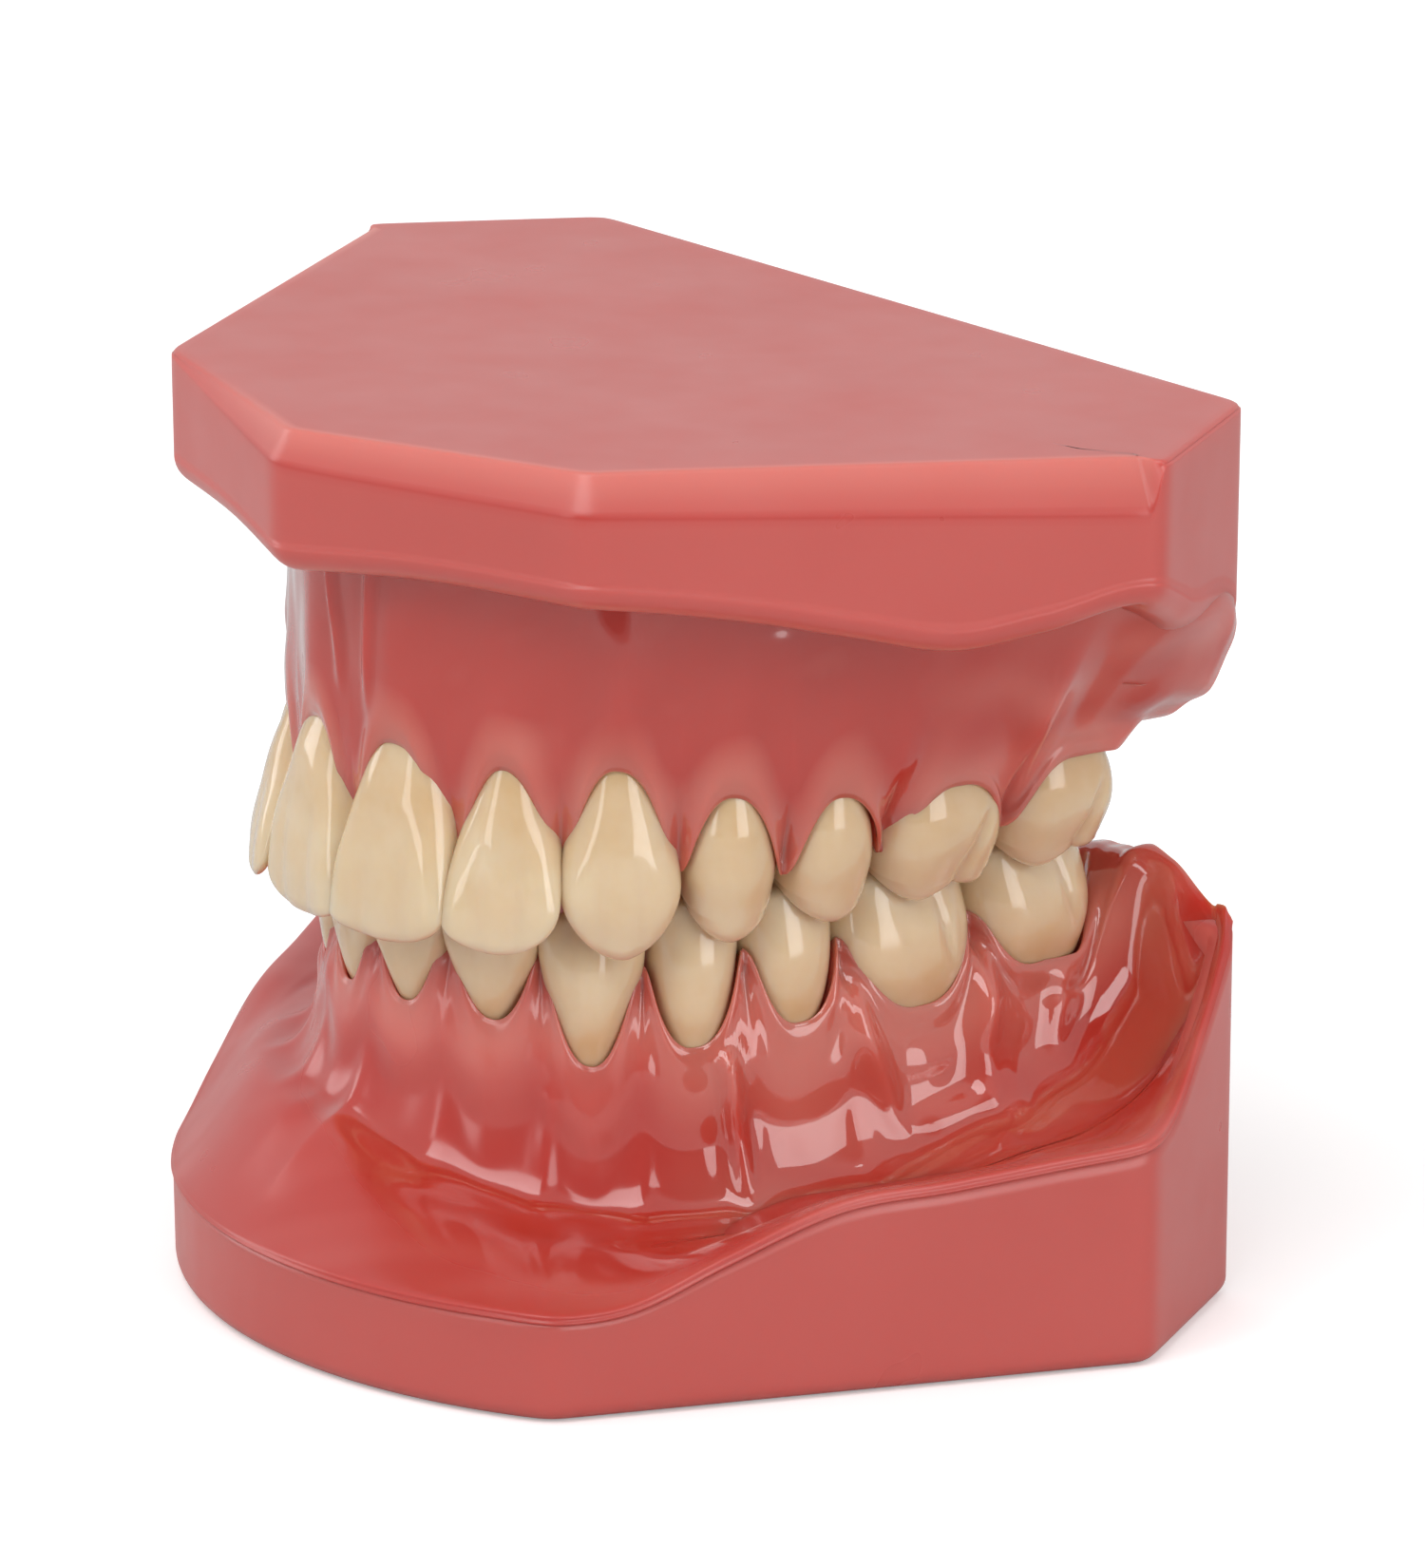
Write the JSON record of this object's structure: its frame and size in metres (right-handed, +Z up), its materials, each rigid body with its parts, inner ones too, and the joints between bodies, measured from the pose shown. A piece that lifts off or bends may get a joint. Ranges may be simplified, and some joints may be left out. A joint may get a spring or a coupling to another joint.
{
  "type": "dental typodont",
  "caption": "Teaching model of the jaws: upper and lower resin halves closed on each other, with pink base blocks, glossy gum ridges and ivory teeth set in sockets.",
  "frame": {"origin": "on the underside of the lower base, halfway from the back wall to the upper base's front point", "axes": "+Z up, -Y towards the front teeth, +X towards the patient's left"},
  "size_m": [0.0822, 0.0573, 0.0597],
  "materials": {
    "base_resin": "satin, polished by hand after trimming, faint scratches",
    "gum_resin": "wet-looking high gloss over a slightly translucent red",
    "tooth_resin": "smooth gloss, slightly translucent towards the biting edges"
  },
  "bodies": {
    "lower_half": {"lower_base": "base_resin", "lower_gum": "gum_resin", "lower_left_central_incisor": "tooth_resin", "lower_left_lateral_incisor": "tooth_resin", "lower_left_canine": "tooth_resin", "lower_left_first_premolar": "tooth_resin", "lower_left_second_premolar": "tooth_resin", "lower_left_first_molar": "tooth_resin", "lower_left_second_molar": "tooth_resin", "lower_right_central_incisor": "tooth_resin", "lower_right_lateral_incisor": "tooth_resin", "lower_right_canine": "tooth_resin", "lower_right_first_premolar": "tooth_resin", "lower_right_second_premolar": "tooth_resin", "lower_right_first_molar": "tooth_resin", "lower_right_second_molar": "tooth_resin"},
    "upper_half": {"upper_base": "base_resin", "upper_gum": "gum_resin", "upper_left_central_incisor": "tooth_resin", "upper_left_lateral_incisor": "tooth_resin", "upper_left_canine": "tooth_resin", "upper_left_first_premolar": "tooth_resin", "upper_left_second_premolar": "tooth_resin", "upper_left_first_molar": "tooth_resin", "upper_left_second_molar": "tooth_resin", "upper_right_central_incisor": "tooth_resin", "upper_right_lateral_incisor": "tooth_resin", "upper_right_canine": "tooth_resin", "upper_right_first_premolar": "tooth_resin", "upper_right_second_premolar": "tooth_resin", "upper_right_first_molar": "tooth_resin", "upper_right_second_molar": "tooth_resin"}
  },
  "joints": [
    {"name": "upper_lift", "type": "slide", "parent": "lower_half", "child": "upper_half", "axis": [0, 0, 1], "range_m": [0, 0.05]}
  ]
}
